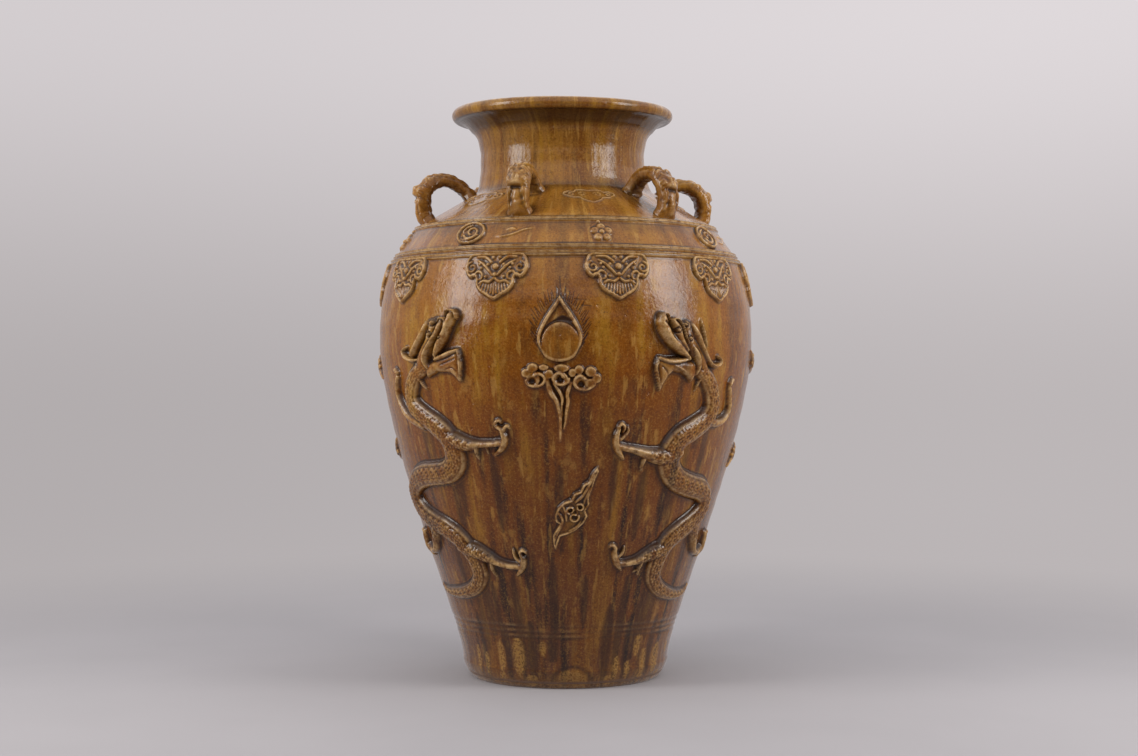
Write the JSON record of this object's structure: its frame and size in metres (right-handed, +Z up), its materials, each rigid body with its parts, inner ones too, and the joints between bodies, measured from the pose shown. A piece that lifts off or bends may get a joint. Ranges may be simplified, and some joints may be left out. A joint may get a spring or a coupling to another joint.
{
  "type": "martaban jar",
  "caption": "Tall glazed stoneware storage jar with mask lugs on the shoulder and applied dragons, pearls and clouds in relief.",
  "frame": {"origin": "centre of the flat base, on the ground", "axes": "+Z up along the jar's axis, the pearl between the two front dragons faces -Y, +X to the right"},
  "size_m": [0.437, 0.4434, 0.65],
  "materials": {
    "amber_glaze": "runny amber-brown ash glaze, glossy",
    "dark_glaze": "darker red-brown glaze with runs, glossy",
    "relief_glaze": "thin ochre glaze over raised clay, glossy",
    "pale_glaze": "pale ochre glaze pooled brown in the hollows"
  },
  "bodies": {
    "root": {"base_disc": "dark_glaze", "lower_wall": "dark_glaze", "middle_wall": "amber_glaze", "upper_wall": "amber_glaze", "collar_band": "amber_glaze", "shoulder": "amber_glaze", "neck": "amber_glaze", "lip": "pale_glaze", "upper_string_ring": "relief_glaze", "lower_string_ring_1": "relief_glaze", "lower_string_ring_2": "relief_glaze", "mask_lug_1": "relief_glaze", "mask_lug_2": "relief_glaze", "mask_lug_3": "relief_glaze", "mask_lug_4": "relief_glaze", "mask_lug_5": "relief_glaze", "mask_lug_6": "relief_glaze", "shoulder_cloud_1": "pale_glaze", "shoulder_cloud_2": "pale_glaze", "shoulder_cloud_3": "pale_glaze", "shoulder_cloud_4": "pale_glaze", "shoulder_cloud_5": "pale_glaze", "shoulder_cloud_6": "pale_glaze", "roundel_1": "relief_glaze", "roundel_2": "relief_glaze", "roundel_3": "relief_glaze", "roundel_4": "relief_glaze", "rosette_1": "relief_glaze", "rosette_2": "relief_glaze", "rosette_3": "relief_glaze", "rosette_4": "relief_glaze", "lappet_1": "pale_glaze", "lappet_2": "pale_glaze", "lappet_3": "pale_glaze", "lappet_4": "pale_glaze", "lappet_5": "pale_glaze", "lappet_6": "pale_glaze", "lappet_7": "pale_glaze", "lappet_8": "pale_glaze", "lappet_9": "pale_glaze", "lappet_10": "pale_glaze", "front_right_dragon": "relief_glaze", "front_left_dragon": "relief_glaze", "back_right_dragon": "relief_glaze", "back_left_dragon": "relief_glaze", "front_pearl": "relief_glaze", "back_pearl": "relief_glaze", "front_pearl_cloud": "pale_glaze", "back_pearl_cloud": "pale_glaze", "front_leaf_cloud": "pale_glaze", "back_leaf_cloud": "pale_glaze", "side_cloud_1": "pale_glaze", "side_cloud_2": "pale_glaze", "side_cloud_3": "pale_glaze", "side_cloud_4": "pale_glaze"}
  },
  "joints": []
}
